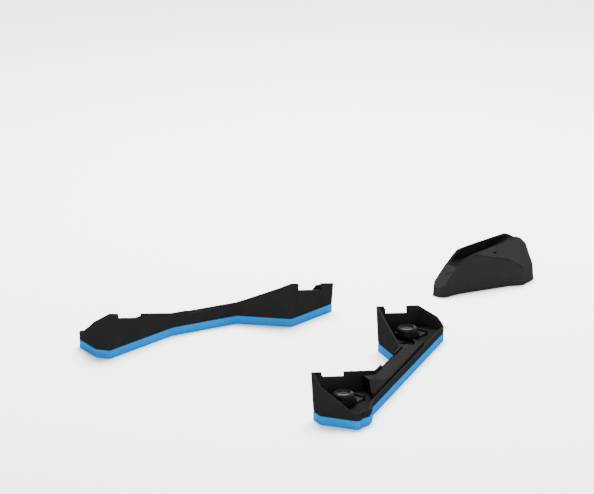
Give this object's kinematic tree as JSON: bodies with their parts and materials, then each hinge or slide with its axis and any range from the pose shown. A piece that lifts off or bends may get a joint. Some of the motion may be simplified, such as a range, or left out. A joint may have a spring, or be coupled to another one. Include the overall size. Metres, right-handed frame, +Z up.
{
  "type": "trainer rocker plate",
  "caption": "Mirrored rocker plates on foam bases, with foot cups that roll on curved tracks in deep pockets, and a grooved front wheel block.",
  "frame": {"origin": "centre of the whole set's footprint, on the floor", "axes": "+X forward, from the plates to the wheel block; +Y to the rider's left; +Z up"},
  "size_m": [1.0332, 0.7578, 0.0995],
  "materials": {
    "azure_foam": "closed-cell foam, die cut, matt blue",
    "black_plastic": "moulded, fine satin texture",
    "grey_plastic": "moulded, fine matt texture",
    "block_plastic": "moulded, fine satin texture",
    "black_rubber": "moulded elastomer, satin",
    "track_steel": "pressed strip, plain",
    "roller_nylon": "turned nylon on a steel axle"
  },
  "bodies": {
    "ground_parts": {"left_foam_base": "azure_foam", "right_foam_base": "azure_foam", "block_body": "block_plastic", "block_foot_rear_left": "black_rubber", "block_foot_rear_right": "black_rubber", "block_foot_front_left": "black_rubber", "block_foot_front_right": "black_rubber"},
    "left_plate": {"left_base_plate": "black_plastic", "left_shell": "black_plastic", "left_deck_cover": "grey_plastic", "left_rear_track": "track_steel", "left_rear_fore_bumper": "black_rubber", "left_rear_aft_bumper": "black_rubber", "left_front_track": "track_steel", "left_front_fore_bumper": "black_rubber", "left_front_aft_bumper": "black_rubber"},
    "left_rear_foot": {"left_rear_carriage": "black_plastic", "left_rear_foot_cup": "black_rubber"},
    "left_rear_fore_rollers": {"left_rear_fore_roller_axle": "roller_nylon"},
    "left_rear_aft_rollers": {"left_rear_aft_roller_axle": "roller_nylon"},
    "left_front_foot": {"left_front_carriage": "black_plastic", "left_front_foot_cup": "black_rubber"},
    "left_front_fore_rollers": {"left_front_fore_roller_axle": "roller_nylon"},
    "left_front_aft_rollers": {"left_front_aft_roller_axle": "roller_nylon"},
    "right_plate": {"right_base_plate": "black_plastic", "right_shell": "black_plastic", "right_deck_cover": "grey_plastic", "right_rear_track": "track_steel", "right_rear_fore_bumper": "black_rubber", "right_rear_aft_bumper": "black_rubber", "right_front_track": "track_steel", "right_front_fore_bumper": "black_rubber", "right_front_aft_bumper": "black_rubber"},
    "right_rear_foot": {"right_rear_carriage": "black_plastic", "right_rear_foot_cup": "black_rubber"},
    "right_rear_fore_rollers": {"right_rear_fore_roller_axle": "roller_nylon"},
    "right_rear_aft_rollers": {"right_rear_aft_roller_axle": "roller_nylon"},
    "right_front_foot": {"right_front_carriage": "black_plastic", "right_front_foot_cup": "black_rubber"},
    "right_front_fore_rollers": {"right_front_fore_roller_axle": "roller_nylon"},
    "right_front_aft_rollers": {"right_front_aft_roller_axle": "roller_nylon"}
  },
  "joints": [
    {"name": "left_plate_rock", "type": "hinge", "parent": "ground_parts", "child": "left_plate", "pos_m": [-0.30404, 0.255, 0.0186], "axis": [1, 0, 0], "range_deg": [-1.5, 1.5], "stiffness_Nm_per_rad": 400, "deforming": ["left_foam_base"]},
    {"name": "left_rear_foot_swing", "type": "hinge", "parent": "left_plate", "child": "left_rear_foot", "pos_m": [-0.44904, 0.307, 0.428], "axis": [0, 1, 0], "range_deg": [-3.58, 3.58]},
    {"name": "left_rear_fore_rollers_spin", "type": "hinge", "parent": "left_rear_foot", "child": "left_rear_fore_rollers", "pos_m": [-0.43404, 0.307, 0.03279], "axis": [0, 1, 0], "range_deg": [-342, 342]},
    {"name": "left_rear_aft_rollers_spin", "type": "hinge", "parent": "left_rear_foot", "child": "left_rear_aft_rollers", "pos_m": [-0.46404, 0.307, 0.03279], "axis": [0, 1, 0], "range_deg": [-342, 342]},
    {"name": "left_front_foot_swing", "type": "hinge", "parent": "left_plate", "child": "left_front_foot", "pos_m": [-0.06004, 0.16, 0.428], "axis": [0, 1, 0], "range_deg": [-3.58, 3.58]},
    {"name": "left_front_fore_rollers_spin", "type": "hinge", "parent": "left_front_foot", "child": "left_front_fore_rollers", "pos_m": [-0.04504, 0.16, 0.03279], "axis": [0, 1, 0], "range_deg": [-342, 342]},
    {"name": "left_front_aft_rollers_spin", "type": "hinge", "parent": "left_front_foot", "child": "left_front_aft_rollers", "pos_m": [-0.07504, 0.16, 0.03279], "axis": [0, 1, 0], "range_deg": [-342, 342]},
    {"name": "right_plate_rock", "type": "hinge", "parent": "ground_parts", "child": "right_plate", "pos_m": [-0.30404, -0.255, 0.0186], "axis": [1, 0, 0], "range_deg": [-1.5, 1.5], "stiffness_Nm_per_rad": 400, "deforming": ["right_foam_base"]},
    {"name": "right_rear_foot_swing", "type": "hinge", "parent": "right_plate", "child": "right_rear_foot", "pos_m": [-0.44904, -0.307, 0.428], "axis": [0, 1, 0], "range_deg": [-3.58, 3.58]},
    {"name": "right_rear_fore_rollers_spin", "type": "hinge", "parent": "right_rear_foot", "child": "right_rear_fore_rollers", "pos_m": [-0.43404, -0.307, 0.03279], "axis": [0, 1, 0], "range_deg": [-342, 342]},
    {"name": "right_rear_aft_rollers_spin", "type": "hinge", "parent": "right_rear_foot", "child": "right_rear_aft_rollers", "pos_m": [-0.46404, -0.307, 0.03279], "axis": [0, 1, 0], "range_deg": [-342, 342]},
    {"name": "right_front_foot_swing", "type": "hinge", "parent": "right_plate", "child": "right_front_foot", "pos_m": [-0.06004, -0.16, 0.428], "axis": [0, 1, 0], "range_deg": [-3.58, 3.58]},
    {"name": "right_front_fore_rollers_spin", "type": "hinge", "parent": "right_front_foot", "child": "right_front_fore_rollers", "pos_m": [-0.04504, -0.16, 0.03279], "axis": [0, 1, 0], "range_deg": [-342, 342]},
    {"name": "right_front_aft_rollers_spin", "type": "hinge", "parent": "right_front_foot", "child": "right_front_aft_rollers", "pos_m": [-0.07504, -0.16, 0.03279], "axis": [0, 1, 0], "range_deg": [-342, 342]}
  ],
  "couplings": [
    {"joint": "left_rear_fore_rollers_spin", "follows": "left_rear_foot_swing", "ratio": -95.238},
    {"joint": "left_rear_aft_rollers_spin", "follows": "left_rear_foot_swing", "ratio": -95.238},
    {"joint": "left_front_fore_rollers_spin", "follows": "left_front_foot_swing", "ratio": -95.238},
    {"joint": "left_front_aft_rollers_spin", "follows": "left_front_foot_swing", "ratio": -95.238},
    {"joint": "right_rear_fore_rollers_spin", "follows": "right_rear_foot_swing", "ratio": -95.238},
    {"joint": "right_rear_aft_rollers_spin", "follows": "right_rear_foot_swing", "ratio": -95.238},
    {"joint": "right_front_fore_rollers_spin", "follows": "right_front_foot_swing", "ratio": -95.238},
    {"joint": "right_front_aft_rollers_spin", "follows": "right_front_foot_swing", "ratio": -95.238}
  ]
}
